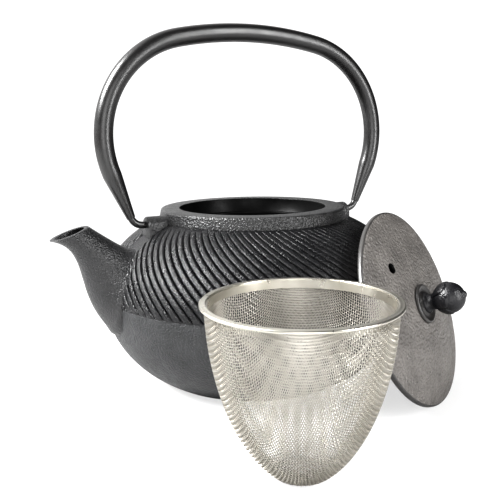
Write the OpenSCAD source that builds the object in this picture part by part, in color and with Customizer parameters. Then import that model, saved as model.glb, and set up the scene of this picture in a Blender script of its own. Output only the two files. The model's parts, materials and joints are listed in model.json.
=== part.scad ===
// Cast-iron teapot with a bail handle, a lid and a woven-mesh infuser basket.
// Millimetres, +Z up. The origin is the middle of the pot's foot, on the table.
// The spout points along -X and the handle turns about a line along X.

/* [Pot] */
// Widest outside diameter of the pot
pot_d = 153.4; // [146:0.2:160]
// Height of the widest line above the table
waist_z = 44.9; // [43:0.1:47]
// Height of the flat top of the collar
mouth_z = 86; // [85:0.5:87]
// Outside diameter of the collar
collar_d = 93.8; // [92:0.2:96]
// Diameter of the mouth that takes the basket and the lid
mouth_d = 74.4; // [74:0.1:75]
// Thickness of the cast wall
wall = 3.6; // [3:0.1:4.2]

/* [Handle] */
// Height of the pivot line above the table
pivot_z = 80.7; // [80:0.1:81]
// Height of the tube's centre line at the top of the bow
bow_top_z = 170.9; // [165:0.5:180]
// Outside diameter of the handle tube
tube_d = 8.6; // [8:0.1:9.4]
// Diameter of the hooks that turn in the lugs
hook_d = 3.3; // [3:0.1:3.4]

/* [Lid] */
// Outside diameter of the lid
lid_d = 91.4; // [88:0.2:93]
// Rise of the lid's dome from its edge to its middle
dome_rise = 5.5; // [4:0.1:7]
// Diameter of the knob's ball
knob_d = 14; // [12:0.5:16]

/* [Basket] */
// Outside diameter of the basket's rim
rim_d = 72.4; // [72:0.1:73]
// Height of the basket
basket_h = 65.4; // [60:0.2:70]

/* [Layout] */
// Basket and lid beside the pot, or seated in its mouth
layout = "apart"; // [apart, closed]

/* [Hidden] */
$fn = 96;
cut = 1;              // how far a cutting shape runs past the face it cuts
touch_gap = 0.02;     // gap between pieces that are pressed or fired together
lap = 0.4;            // how far two bars of one piece run into each other where they meet
lap_step = 0.03;      // difference in radius that keeps their skins apart there

// Pot casting
pot_r = pot_d / 2;
bowl_drop = waist_z + 10.1;     // where the bowl's curve would close below the foot
bowl_power = 2.2;
shoulder_rise = 45.4;           // where the shoulder's curve would close above the waist
collar_base_z = mouth_z - 5.8;
collar_fillet = 1.2;
collar_flare = 0.7;
foot_r = 47;
foot_ring_w = 6;
foot_recess = 1.2;
foot_top_z = 0.8;               // where the foot's upright side turns into the bowl
waist_break = 2;                // from the waist up to the shoulder's first outline point
floor_corner = 2;               // width of the slope between the inside floor and the wall
floor_corner_h = 1;
ledge_depth = 7.6;              // from the collar's top down to the basket's ledge
ledge_t = 2.4;
ledge_d = rim_d - 1.3;
lining_t = 0.4;

// Spout, as two edge curves in the XZ plane joined by ellipses
spout_low = [[-72, 30], [-96, 46], [-82, 72], [-102.3, 76.7]];
spout_high = [[-48, 58], [-62, 66], [-74, 74], [-85, 82.3]];
spout_root_w = 34;
spout_lip_w = 14;
spout_wall = 2.6;
spout_narrowing = 1.3;          // power by which the spout's width falls off towards its lip
channel_start = -0.06;
channel_stop = 0.96;
channel_run_out = 3;            // how far the channel runs on past the lip
spout_rings = 8;
spout_sides = 20;

// Lugs
lug_w = 11;
lug_top_z = 84.5;
lug_face_x = 57.5;
lug_skirt_w = 14;
lug_skirt_z = 66;
lug_bore_depth = 7;
lug_overlap = 4;                // how far a lug runs in under the collar's side
hook_clearance = 0.07;

// Handle: a flat top arc, two corner arcs, tapered legs and hooks
top_arc_r = 193;
top_arc_a = 11.4;
corner_r = 46.6;
corner_a = 111.3;
hook_bend_r = 5.9;
tube_wall = 1.1;
leg_end_wall = 0.35;
leg_end_r = hook_d / 2 + leg_end_wall;
hook_insert = 9;
hook_pin_len = 6;
top_centre = [0, bow_top_z - top_arc_r];
corner_centre = top_centre + (top_arc_r - corner_r) * [sin(top_arc_a), cos(top_arc_a)];
leg_start = corner_centre + corner_r * [sin(corner_a), cos(corner_a)];
leg_end_z = pivot_z + hook_bend_r * (1 + cos(corner_a));
leg_len = (leg_start[1] - leg_end_z) / sin(corner_a);
leg_end = leg_start + leg_len * [cos(corner_a), -sin(corner_a)];
hook_centre = leg_end - hook_bend_r * [sin(corner_a), cos(corner_a)];

// Lid, drawn with its seating face at z = 0 and its knob pointing up
lid_r = lid_d / 2;
lid_edge_t = 2.6;
lid_plate_t = 3;
lid_fillet = 0.9;
spigot_play = 0.4;              // gap all round between the spigot and the mouth
spigot_r = mouth_d / 2 - spigot_play;
spigot_t = 2.6;
spigot_depth = 4.8;
pad_r = 9.5;
pad_z = lid_edge_t + dome_rise * (1 - pow(pad_r / lid_r, 2));
underside_r = spigot_r - spigot_t;
underside_corner = 2;           // size of the slope between the underside and the spigot
vent_r = 2.4;
vent_place = [-17.3, 20.8];
spigot_bevel = 0.6;
dome_start_r = lid_r - 1.4;     // where the edge's round meets the dome
seat_r = 9.1;
seat_t = 1.6;
seat_fillet = 0.6;
seat_dish = 0.5;
dish_gap = 0.6;                 // from the neck's foot to the bottom edge of the dish
dish_slope = 0.6;
neck_r = 3.7;
neck_foot_r = neck_r + 1.4;
neck_foot_h = 0.8;
neck_waist_h = 2;
knob_centre_z = lid_edge_t + 17.7;
knob_top_a = 70;                // how far up the ball runs before the nub starts
knob_nub_r = 1.76;
knob_nub_top_r = 0.88;
knob_nub_h = 0.8;
knob_tip_z = knob_centre_z + knob_d / 2 + 0.9;
screw_r = 2;
screw_hole_r = 2.2;
screw_len = 16;
screw_head_r = 3.8;
screw_head_t = 2.4;
screw_head_taper = 0.8;
screw_slot_w = 1;
screw_slot_depth = 1;
screw_shank_len = screw_len - 1;
knob_bore_depth = screw_len - 4;
inner_washer_r = 5;
inner_washer_t = 0.8;

// Basket, drawn with its base at z = 0
mesh_t = 0.8;
mesh_top_r = rim_d / 2 - 1.7;   // the rim overhangs the cup by the rest
rim_h = 1.3;
rim_fillet = 0.5;
rim_bevel = 0.3;
rim_roof_t = 0.6;
band_h = 3.2;
band_t = 0.4;
cup_top_z = basket_h - rim_roof_t - touch_gap;
cup_drop = cup_top_z + 4;       // where the cup's curve would close below its base
cup_power = 1.8;
cup_spacing = 1.4;              // above 1 sets the cup's outline points closer near its base

// Where the loose pieces stand, as a bearing and a distance from the pot's middle
basket_bearing = -109.3;
basket_distance = 112.4;
lid_bearing = -57;
lid_distance = 83.6;
lid_face_bearing = -61.4;
lid_lean = 21;                  // how far the leaning lid's face looks up

// ---------- helpers ----------

function arc(centre, r, a0, a1, n) =
    [for (i = [0:n]) centre + r * [cos(a0 + (a1 - a0) * i / n), sin(a0 + (a1 - a0) * i / n)]];

function bezier(p, t) =
    pow(1 - t, 3) * p[0] + 3 * pow(1 - t, 2) * t * p[1]
    + 3 * (1 - t) * t * t * p[2] + pow(t, 3) * p[3];

// Radius of a superellipse of half-width a and half-height b at height h from its middle
function round_r(a, b, h, power) = a * pow(max(1 - pow(abs(h) / b, power), 0), 1 / power);

// ---------- pot ----------

// Radius of the pot's skin at height z, moved in by inset
function pot_skin_r(z, inset = 0) = z < waist_z
    ? round_r(pot_r - inset, bowl_drop - inset, waist_z - z, bowl_power)
    : round_r(pot_r - inset, shoulder_rise - inset, z - waist_z, 2);

function pot_skin(z0, z1, n, inset = 0) =
    [for (i = [0:n]) let (z = z0 + (z1 - z0) * i / n) [pot_skin_r(z, inset), z]];

module pot_outside() {
    collar_r = collar_d / 2;
    rotate_extrude()
        polygon(concat(
            [[0, foot_recess], [foot_r - foot_ring_w, foot_recess], [foot_r - foot_ring_w, 0], [foot_r, 0]],
            pot_skin(foot_top_z, waist_z, 16),
            pot_skin(waist_z + waist_break, collar_base_z, 14),
            [[collar_r + collar_flare, collar_base_z]],
            arc([collar_r - collar_fillet, mouth_z - collar_fillet], collar_fillet, 0, 90, 4),
            [[0, mouth_z]]
        ));
}

// The hollow of the pot below the ledge, with its skin moved in by inset
module pot_hollow(inset) {
    floor_z = foot_recess + inset;
    ceiling_z = mouth_z - ledge_depth - ledge_t - (inset - wall);
    rotate_extrude()
        polygon(concat(
            [[0, floor_z], [pot_skin_r(floor_z, inset) - floor_corner, floor_z]],
            pot_skin(floor_z + floor_corner_h, ceiling_z, 24, inset),
            [[0, ceiling_z]]
        ));
}

module mouth_hole() {
    translate([0, 0, mouth_z - ledge_depth])
        cylinder(d = mouth_d, h = ledge_depth + cut);
    translate([0, 0, mouth_z - ledge_depth - ledge_t - cut])
        cylinder(d = ledge_d, h = ledge_t + 2 * cut);
}

// One ellipse of the spout at t, 0 at the root and 1 at the lip, moved in by inset
function spout_ring(t, inset, shift = 0) =
    let (
        low = bezier(spout_low, t),
        high = bezier(spout_high, t),
        middle = (low + high) / 2,
        half = (high - low) / 2,
        half_len = norm(half),
        along = half / half_len,
        out = [-along[1], along[0]] * shift,
        side = spout_lip_w / 2 + (spout_root_w - spout_lip_w) / 2 * pow(1 - t, spout_narrowing)
    )
    [for (i = [0:spout_sides - 1]) let (
            a = 360 * i / spout_sides,
            p = middle + out + along * (half_len - inset) * cos(a)
        ) [p[0], (side - inset) * sin(a), p[1]]];

// The spout's solid form from t = start to t = stop, moved in by inset, and carried on
// past the lip by run_out
module spout_solid(start, stop, inset, run_out) {
    rings = concat(
        [for (k = [0:spout_rings]) spout_ring(start + (stop - start) * k / spout_rings, inset)],
        run_out > 0 ? [spout_ring(1, inset, run_out)] : []
    );
    n = spout_sides;
    last = len(rings) - 1;
    polyhedron(
        points = [for (ring = rings) each ring],
        faces = concat(
            [[for (i = [0:n - 1]) i]],
            [for (k = [0:last - 1], i = [0:n - 1])
                [k * n + i, (k + 1) * n + i, (k + 1) * n + (i + 1) % n]],
            [for (k = [0:last - 1], i = [0:n - 1])
                [k * n + i, (k + 1) * n + (i + 1) % n, k * n + (i + 1) % n]],
            [[for (i = [n - 1:-1:0]) last * n + i]]
        )
    );
}

module spout_channel() {
    spout_solid(channel_start, channel_stop, spout_wall, channel_run_out);
}

// A round-topped lug with a skirt that spreads into the shoulder, on the +X side
module lug() {
    inner_x = collar_d / 2 - lug_overlap;
    lug_r = lug_w / 2;
    translate([inner_x, 0, 0])
        rotate([90, 0, 90])
            linear_extrude(lug_face_x - inner_x)
                union() {
                    translate([0, lug_top_z - lug_r])
                        circle(lug_r);
                    polygon([
                        [-lug_r, lug_top_z - lug_r],
                        [-lug_skirt_w / 2, lug_skirt_z],
                        [lug_skirt_w / 2, lug_skirt_z],
                        [lug_r, lug_top_z - lug_r]
                    ]);
                }
}

module lug_bore() {
    translate([lug_face_x - lug_bore_depth, 0, pivot_z])
        rotate([0, 90, 0])
            cylinder(d = hook_d + 2 * hook_clearance, h = lug_bore_depth + cut);
}

module pot_body() {
    color([0.16, 0.16, 0.17])
        difference() {
            union() {
                pot_outside();
                spout_solid(0, 1, 0, 0);
                lug();
                mirror([1, 0, 0]) lug();
            }
            pot_hollow(wall);
            mouth_hole();
            spout_channel();
            lug_bore();
            mirror([1, 0, 0]) lug_bore();
        }
}

module enamel_lining() {
    color([0.07, 0.07, 0.08])
        difference() {
            pot_hollow(wall + touch_gap);
            pot_hollow(wall + touch_gap + lining_t);
            spout_channel();
            translate([0, 0, mouth_z - ledge_depth - ledge_t - lining_t - cut])
                cylinder(d = ledge_d, h = lining_t + 2 * cut);
        }
}

// ---------- handle ----------

// A round tube bent about centre, from angle a0 to a1 measured from straight up towards +X
module bent_tube(centre, bend_r, a0, a1, r, bore_r) {
    translate([centre[0], 0, centre[1]])
        rotate([90, 0, 0])
            rotate_extrude(angle = a1 - a0, start = 90 - a1)
                translate([bend_r, 0])
                    difference() {
                        circle(r);
                        if (bore_r > 0) circle(bore_r);
                    }
}

// A shape drawn along +Z, laid down the +X leg from the leg's top
module along_leg() {
    translate([leg_start[0], 0, leg_start[1]])
        rotate([0, corner_a + 90, 0])
            children();
}

// The tapered end of the tube, narrowed inside to grip the hook's shank
module bow_leg() {
    r = tube_d / 2 - lap_step;
    grip_r = hook_d / 2 + touch_gap;
    along_leg()
        rotate_extrude()
            polygon([
                [r - tube_wall, -lap],
                [r, -lap],
                [r, 0],
                [leg_end_r, leg_len],
                [grip_r, leg_len],
                [grip_r, leg_len - hook_insert]
            ]);
}

module handle_bow() {
    r = tube_d / 2;
    bore_r = r - tube_wall;
    lap_a = lap / corner_r * 180 / PI;
    color([0.13, 0.13, 0.14])
        union() {
            bent_tube(top_centre, top_arc_r, -top_arc_a, top_arc_a, r + lap_step, bore_r - lap_step);
            for (side = [0, 1])
                mirror([side, 0, 0]) {
                    bent_tube(corner_centre, corner_r, top_arc_a - lap_a, corner_a, r, bore_r);
                    bow_leg();
                }
        }
}

// The solid hook on the +X side: a shank inside the leg, a bend and a pin in the lug
module hook() {
    color([0.13, 0.13, 0.14])
        union() {
            along_leg()
                translate([0, 0, leg_len - hook_insert + touch_gap])
                    cylinder(d = hook_d, h = hook_insert - touch_gap + lap);
            bent_tube(hook_centre, hook_bend_r, corner_a, 180, hook_d / 2 + lap_step, 0);
            translate([hook_centre[0] - hook_pin_len, 0, pivot_z])
                rotate([0, 90, 0])
                    cylinder(d = hook_d, h = hook_pin_len + lap);
        }
}

module handle_hook_left() {
    mirror([1, 0, 0]) hook();
}

module handle_hook_right() {
    hook();
}

// ---------- lid ----------

module place_lid() {
    if (layout == "closed")
        translate([0, 0, mouth_z]) children();
    else
        translate([lid_distance * cos(lid_bearing), lid_distance * sin(lid_bearing), 0])
            rotate([0, 0, lid_face_bearing])
                translate([0, 0, lid_r * cos(lid_lean)])
                    rotate([0, 90 - lid_lean, 0])
                        rotate([0, 0, 90])
                            translate([0, 0, -lid_edge_t / 2])
                                children();
}

function dome_z(r) = lid_edge_t + dome_rise * (1 - pow(r / lid_r, 2));

module lid_plate() {
    dome_steps = 12;
    color([0.27, 0.26, 0.25])
        place_lid()
            difference() {
                rotate_extrude()
                    polygon(concat(
                        [[0, pad_z - lid_plate_t], [pad_r, pad_z - lid_plate_t]],
                        [for (i = [1:dome_steps])
                            let (r = pad_r + (underside_r - underside_corner - pad_r) * i / dome_steps)
                            [r, dome_z(r) - lid_plate_t]],
                        [
                            [underside_r, dome_z(underside_r) - lid_plate_t - underside_corner],
                            [underside_r, -spigot_depth + spigot_bevel],
                            [underside_r + spigot_bevel, -spigot_depth],
                            [spigot_r - spigot_bevel, -spigot_depth],
                            [spigot_r, -spigot_depth + spigot_bevel],
                            [spigot_r, 0]
                        ],
                        arc([lid_r - lid_fillet, lid_fillet], lid_fillet, -90, 0, 4),
                        arc([lid_r - lid_fillet, lid_edge_t - lid_fillet], lid_fillet, 0, 80, 4),
                        [for (i = [1:dome_steps])
                            let (r = dome_start_r - (dome_start_r - pad_r) * i / dome_steps)
                            [r, dome_z(r)]],
                        [[0, pad_z]]
                    ));
                translate([0, 0, -cut])
                    cylinder(r = screw_hole_r, h = pad_z + 2 * cut);
                translate([vent_place[0], vent_place[1], -cut])
                    cylinder(r = vent_r, h = pad_z + 2 * cut);
            }
}

module knob_washer() {
    color([0.2, 0.2, 0.2])
        place_lid()
            translate([0, 0, pad_z + touch_gap])
                rotate_extrude()
                    polygon(concat(
                        [[screw_hole_r, 0], [seat_r, 0]],
                        arc([seat_r - seat_fillet, seat_t - seat_fillet], seat_fillet, 0, 90, 4),
                        [
                            [neck_foot_r + dish_gap + dish_slope, seat_t],
                            [neck_foot_r + dish_gap, seat_t - seat_dish],
                            [screw_hole_r, seat_t - seat_dish]
                        ]
                    ));
}

module lid_knob() {
    base_z = pad_z + seat_t - seat_dish + 2 * touch_gap;
    knob_r = knob_d / 2;
    join_a = acos(neck_r / knob_r);
    color([0.12, 0.12, 0.13])
        place_lid()
            difference() {
                rotate_extrude()
                    polygon(concat(
                        [
                            [0, base_z],
                            [neck_foot_r, base_z],
                            [neck_foot_r, base_z + neck_foot_h],
                            [neck_r, base_z + neck_waist_h]
                        ],
                        arc([0, knob_centre_z], knob_r, -join_a, knob_top_a, 14),
                        [
                            [knob_nub_r, knob_tip_z - knob_nub_h],
                            [knob_nub_top_r, knob_tip_z],
                            [0, knob_tip_z]
                        ]
                    ));
                translate([0, 0, base_z - cut])
                    cylinder(r = screw_r + touch_gap, h = knob_bore_depth + cut);
            }
}

module screw_washer() {
    color([0.6, 0.6, 0.6])
        place_lid()
            translate([0, 0, pad_z - lid_plate_t - inner_washer_t - touch_gap])
                difference() {
                    cylinder(r = inner_washer_r, h = inner_washer_t);
                    translate([0, 0, -cut])
                        cylinder(r = screw_hole_r, h = inner_washer_t + 2 * cut);
                }
}

module knob_screw() {
    head_z = pad_z - lid_plate_t - inner_washer_t - 2 * touch_gap;
    color([0.6, 0.6, 0.6])
        place_lid()
            difference() {
                union() {
                    translate([0, 0, head_z - screw_head_t])
                        cylinder(r1 = screw_head_r - screw_head_taper, r2 = screw_head_r, h = screw_head_t);
                    translate([0, 0, head_z])
                        cylinder(r = screw_r, h = screw_shank_len);
                }
                translate([-screw_head_r - cut, -screw_slot_w / 2, head_z - screw_head_t - cut])
                    cube([2 * (screw_head_r + cut), screw_slot_w, screw_slot_depth + cut]);
            }
}

// ---------- basket ----------

module place_basket() {
    if (layout == "closed")
        translate([0, 0, mouth_z - ledge_depth - basket_h + rim_h + touch_gap]) children();
    else
        translate([basket_distance * cos(basket_bearing), basket_distance * sin(basket_bearing), 0])
            children();
}

// Radius of the outside of the mesh cup at height z
function cup_r(z) = round_r(mesh_top_r, cup_drop, cup_top_z - z, cup_power);

module mesh_basket() {
    steps = 26;
    color([0.82, 0.80, 0.76])
        place_basket()
            rotate_extrude()
                polygon(concat(
                    [[0, 0]],
                    [for (i = [0:steps]) let (z = cup_top_z * pow(i / steps, cup_spacing)) [cup_r(z), z]],
                    [for (i = [steps:-1:1])
                        let (z = mesh_t + (cup_top_z - mesh_t) * pow(i / steps, cup_spacing))
                        [cup_r(z) - mesh_t, i == steps ? cup_top_z : z]],
                    [[0, mesh_t]]
                ));
}

module basket_rim() {
    inner_r = mesh_top_r - mesh_t;
    outer_r = rim_d / 2;
    color([0.85, 0.84, 0.82])
        place_basket()
            rotate_extrude()
                polygon(concat(
                    [
                        [mesh_top_r + touch_gap, basket_h - rim_h],
                        [outer_r - rim_bevel, basket_h - rim_h],
                        [outer_r, basket_h - rim_h + rim_bevel]
                    ],
                    arc([outer_r - rim_fillet, basket_h - rim_fillet], rim_fillet, 0, 90, 4),
                    [
                        [inner_r, basket_h],
                        [inner_r, basket_h - rim_roof_t],
                        [mesh_top_r + touch_gap, basket_h - rim_roof_t]
                    ]
                ));
}

module basket_inner_band() {
    band_top_z = basket_h - rim_roof_t - touch_gap;
    outer_r = mesh_top_r - mesh_t - touch_gap;
    outer_low_r = cup_r(band_top_z - band_h) - mesh_t - 2 * touch_gap;
    color([0.88, 0.87, 0.85])
        place_basket()
            rotate_extrude()
                polygon([
                    [outer_low_r - band_t, band_top_z - band_h],
                    [outer_low_r, band_top_z - band_h],
                    [outer_r, band_top_z],
                    [outer_r - band_t, band_top_z]
                ]);
}

pot_body();
enamel_lining();
handle_bow();
handle_hook_left();
handle_hook_right();
lid_plate();
knob_washer();
lid_knob();
knob_screw();
screw_washer();
basket_rim();
basket_inner_band();
mesh_basket();
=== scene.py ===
"""Looks for a cast-iron teapot with a bail handle, a lid and a woven-wire infuser basket.

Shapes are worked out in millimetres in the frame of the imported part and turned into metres
when each mesh is made. The name of each piece says which physical piece it stands for.
"""

import json
import math

import bmesh
import bpy
import numpy as np
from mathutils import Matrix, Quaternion, Vector, noise


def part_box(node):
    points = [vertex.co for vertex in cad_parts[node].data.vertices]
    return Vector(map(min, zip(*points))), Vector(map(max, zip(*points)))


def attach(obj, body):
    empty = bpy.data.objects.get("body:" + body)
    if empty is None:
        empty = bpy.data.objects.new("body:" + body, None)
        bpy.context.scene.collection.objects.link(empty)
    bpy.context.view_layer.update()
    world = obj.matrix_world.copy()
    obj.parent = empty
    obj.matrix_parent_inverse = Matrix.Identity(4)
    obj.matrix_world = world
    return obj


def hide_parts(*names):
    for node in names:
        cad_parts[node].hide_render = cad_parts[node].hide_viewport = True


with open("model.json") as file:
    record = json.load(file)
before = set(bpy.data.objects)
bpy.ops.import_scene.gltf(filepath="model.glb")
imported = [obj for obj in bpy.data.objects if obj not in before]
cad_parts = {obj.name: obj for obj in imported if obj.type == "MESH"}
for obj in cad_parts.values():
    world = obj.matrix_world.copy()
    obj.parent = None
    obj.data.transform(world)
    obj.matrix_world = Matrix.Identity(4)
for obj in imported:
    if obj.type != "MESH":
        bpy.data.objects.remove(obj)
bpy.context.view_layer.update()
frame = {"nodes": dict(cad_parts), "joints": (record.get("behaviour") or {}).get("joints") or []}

MM = 0.001
TAU = 2 * math.pi


# ---------- sizes taken from the frame, in millimetres ----------


def box_mm(node):
    low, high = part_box(node)
    return np.array(low) / MM, np.array(high) / MM


def centre_mm(node):
    low, high = box_mm(node)
    return (low + high) / 2


joints = {joint["name"]: joint for joint in frame["joints"]}

pot_low, pot_high = box_mm("pot_body")
pot_r = pot_high[1]
mouth_z = pot_high[2]
mouth_r = 0.485 * pot_r
ledge_depth = 7.6
pivot_z = joints["handle_swing"]["pos_m"][2] / MM

bow_low, bow_high = box_mm("handle_bow")
tube_r = (bow_high[1] - bow_low[1]) / 2
bow_top_z = bow_high[2] - tube_r
hook_low, hook_high = box_mm("handle_hook_right")

lid_axis = np.array(joints["lid_lift"]["axis"], float)
lid_axis /= np.linalg.norm(lid_axis)
seat_centre = centre_mm("knob_washer")

rim_low, rim_high = box_mm("basket_rim")
basket_x, basket_y = centre_mm("basket_rim")[:2]
rim_r = (rim_high[0] - rim_low[0]) / 2
rim_top_z = rim_high[2]


# ---------- mesh helpers ----------

weld_gap = 0.002
noise_step = (17.3, 5.1, 9.7)


def grid_quads(rows, cols, wrap_rows=False, wrap_cols=True, first=0):
    """Corner indices of the quads of a rows x cols grid of points."""
    r = np.arange(rows if wrap_rows else rows - 1)
    c = np.arange(cols if wrap_cols else cols - 1)
    r, c = np.meshgrid(r, c, indexing="ij")
    r1 = (r + 1) % rows
    c1 = (c + 1) % cols
    quads = np.stack([r * cols + c, r * cols + c1, r1 * cols + c1, r1 * cols + c], -1)
    return quads.reshape(-1, 4) + first


def make_mesh(name, points, quads, caps=(), sharp_angle=40, weld=False):
    """A smooth-shaded object from points in millimetres, quads and a few larger faces."""
    corners = np.concatenate([quads.ravel()] + [np.asarray(cap, int) for cap in caps])
    sizes = np.concatenate([np.full(len(quads), 4), [len(cap) for cap in caps]]).astype(int)
    starts = np.concatenate([[0], np.cumsum(sizes)[:-1]])
    mesh = bpy.data.meshes.new(name)
    mesh.vertices.add(len(points))
    mesh.vertices.foreach_set("co", (np.asarray(points) * MM).astype(np.float32).ravel())
    mesh.loops.add(len(corners))
    mesh.loops.foreach_set("vertex_index", corners.astype(np.int32))
    mesh.polygons.add(len(sizes))
    mesh.polygons.foreach_set("loop_start", starts.astype(np.int32))
    mesh.update(calc_edges=True)
    shape = bmesh.new()
    shape.from_mesh(mesh)
    if weld:
        bmesh.ops.remove_doubles(shape, verts=shape.verts, dist=weld_gap * MM)
    bmesh.ops.recalc_face_normals(shape, faces=shape.faces)
    shape.to_mesh(mesh)
    shape.free()
    mesh.shade_smooth()
    mesh.set_sharp_from_angle(angle=math.radians(sharp_angle))
    piece = bpy.data.objects.new(name, mesh)
    bpy.context.scene.collection.objects.link(piece)
    return piece


def lathe_points(profile, sides):
    """Rings of points round +Z for a profile of (radius, height) pairs."""
    profile = np.asarray(profile, float)
    angle = np.arange(sides) * TAU / sides
    x = profile[:, :1] * np.cos(angle)
    y = profile[:, :1] * np.sin(angle)
    z = np.repeat(profile[:, 1:], sides, 1)
    return np.stack([x, y, z], -1)


def lathe(name, profile, sides, place=None, sharp_angle=40):
    """A solid of revolution from a closed profile; points on the axis become poles."""
    points = lathe_points(profile, sides)
    rows = len(profile)
    flat = points.reshape(-1, 3)
    if place is not None:
        flat = place(flat)
    return make_mesh(name, flat, grid_quads(rows, sides, wrap_rows=True), (), sharp_angle, True)


def arc(cx, cz, r, start, stop, steps):
    """Points on an arc, with angles in degrees counted from +X towards +Z."""
    angles = np.radians(np.linspace(start, stop, steps + 1))
    return [(cx + r * math.cos(a), cz + r * math.sin(a)) for a in angles]


def smooth_step(low, high, value):
    t = np.clip((value - low) / (high - low), 0, 1)
    return t * t * (3 - 2 * t)


def join_pieces(name, parts):
    """Joins several shells of one casting into one object."""
    bpy.ops.object.select_all(action="DESELECT")
    for part in parts:
        part.select_set(True)
    bpy.context.view_layer.objects.active = parts[0]
    bpy.ops.object.join()
    parts[0].name = name
    parts[0].data.name = name
    return parts[0]


def noise_at(points, scale, seed):
    """Smooth noise from -1 to 1 at each point, with features about `scale` mm wide."""
    offset = Vector([seed * step for step in noise_step])
    return np.array([noise.noise(Vector(p) / scale + offset) for p in points])


# ---------- materials ----------

# Most of a noise texture's values lie between these two
noise_low = 0.3
noise_high = 0.7

# Sockets of the Mix node, which share their names: two inputs and the output for each type
color_a, color_b, color_out = 6, 7, 2
float_a, float_b, float_out = 2, 3, 0

# Pointiness where the edge tint begins on a raised edge and where it is complete; a light tint
# stands for wear, a dark tint is painted shade
wear_and_shade_starts = 0.505
wear_and_shade_full = 0.58

# Stretches of a texture along X, Y and Z; upright draws its grain out along Z
even = (1, 1, 1)
upright = (1, 1, 0.18)


def add_node(tree, kind, **values):
    """A new node with the given settings; a name the node doesn't have is one of its inputs."""
    made = tree.nodes.new(kind)
    for key, value in values.items():
        if hasattr(made, key):
            setattr(made, key, value)
        else:
            made.inputs[key.replace("_", " ")].default_value = value
    return made


def stretched_coordinates(tree, stretch):
    where = add_node(tree, "ShaderNodeTexCoord")
    mapping = add_node(tree, "ShaderNodeMapping")
    mapping.inputs["Scale"].default_value = stretch
    tree.links.new(where.outputs["Object"], mapping.inputs["Vector"])
    return mapping.outputs["Vector"]


def noise_node(tree, size_mm, detail, stretch=even):
    """A noise texture whose features are about size_mm across."""
    texture = add_node(tree, "ShaderNodeTexNoise", Scale=1 / (size_mm * MM), Detail=detail)
    tree.links.new(stretched_coordinates(tree, stretch), texture.inputs["Vector"])
    return texture.outputs["Fac"]


def remap(tree, source, low, high):
    node = add_node(tree, "ShaderNodeMapRange")
    node.inputs["From Min"].default_value = noise_low
    node.inputs["From Max"].default_value = noise_high
    node.inputs["To Min"].default_value = low
    node.inputs["To Max"].default_value = high
    tree.links.new(source, node.inputs["Value"])
    return node.outputs["Result"]


def surface(name, dark, light, roughness, metallic=0.0, blotch_mm=12, bumps=(), cells=None,
            wear_and_edge_shade=None, specular=0.5):
    """A procedural surface: two tones mixed in blotches, uneven roughness, bump layers of
    (feature size mm, height mm, stretch) and a layer of cells of (size mm, height mm). The edge
    argument gives (amount, tint) for the raised edges: a lighter tint stands for wear, a darker tint
    is painted shade, as on the lid."""
    material = bpy.data.materials.new(name)
    material.use_nodes = True
    tree = material.node_tree
    shader = tree.nodes["Principled BSDF"]
    shader.inputs["Metallic"].default_value = metallic
    shader.inputs["Specular IOR Level"].default_value = specular
    blotch = noise_node(tree, blotch_mm, detail=4)
    tones = add_node(tree, "ShaderNodeMix", data_type="RGBA")
    tones.inputs[color_a].default_value = (*dark, 1)
    tones.inputs[color_b].default_value = (*light, 1)
    tree.links.new(remap(tree, blotch, 0, 1), tones.inputs[0])
    color = tones.outputs[color_out]
    # Raised edges take the tint: wear where it is lighter, painted shade where it is darker
    if wear_and_edge_shade:
        amount, tint = wear_and_edge_shade
        geometry = add_node(tree, "ShaderNodeNewGeometry")
        edge = add_node(tree, "ShaderNodeMapRange")
        edge.inputs["From Min"].default_value = wear_and_shade_starts
        edge.inputs["From Max"].default_value = wear_and_shade_full
        edge.inputs["To Max"].default_value = amount
        tree.links.new(geometry.outputs["Pointiness"], edge.inputs["Value"])
        wear_and_shade_mix = add_node(tree, "ShaderNodeMix", data_type="RGBA")
        wear_and_shade_mix.inputs[color_b].default_value = (*tint, 1)
        tree.links.new(edge.outputs["Result"], wear_and_shade_mix.inputs[0])
        tree.links.new(color, wear_and_shade_mix.inputs[color_a])
        color = wear_and_shade_mix.outputs[color_out]
    tree.links.new(color, shader.inputs["Base Color"])
    gloss_mm = blotch_mm * 0.4
    rough = remap(tree, noise_node(tree, gloss_mm, detail=3), *roughness)
    tree.links.new(rough, shader.inputs["Roughness"])
    normal = None
    for size_mm, height_mm, stretch in bumps:
        bump = add_node(tree, "ShaderNodeBump", Distance=height_mm * MM)
        grain = noise_node(tree, size_mm, detail=2, stretch=stretch)
        tree.links.new(grain, bump.inputs["Height"])
        if normal is not None:
            tree.links.new(normal, bump.inputs["Normal"])
        normal = bump.outputs["Normal"]
    if cells:
        size_mm, height_mm = cells
        pebbles = add_node(tree, "ShaderNodeTexVoronoi", feature="SMOOTH_F1",
                           Scale=1 / (size_mm * MM))
        tree.links.new(stretched_coordinates(tree, even), pebbles.inputs["Vector"])
        bump = add_node(tree, "ShaderNodeBump", invert=True, Distance=height_mm * MM)
        tree.links.new(pebbles.outputs["Distance"], bump.inputs["Height"])
        tree.links.new(normal, bump.inputs["Normal"])
        normal = bump.outputs["Normal"]
    if normal is not None:
        tree.links.new(normal, shader.inputs["Normal"])
    return material


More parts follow.
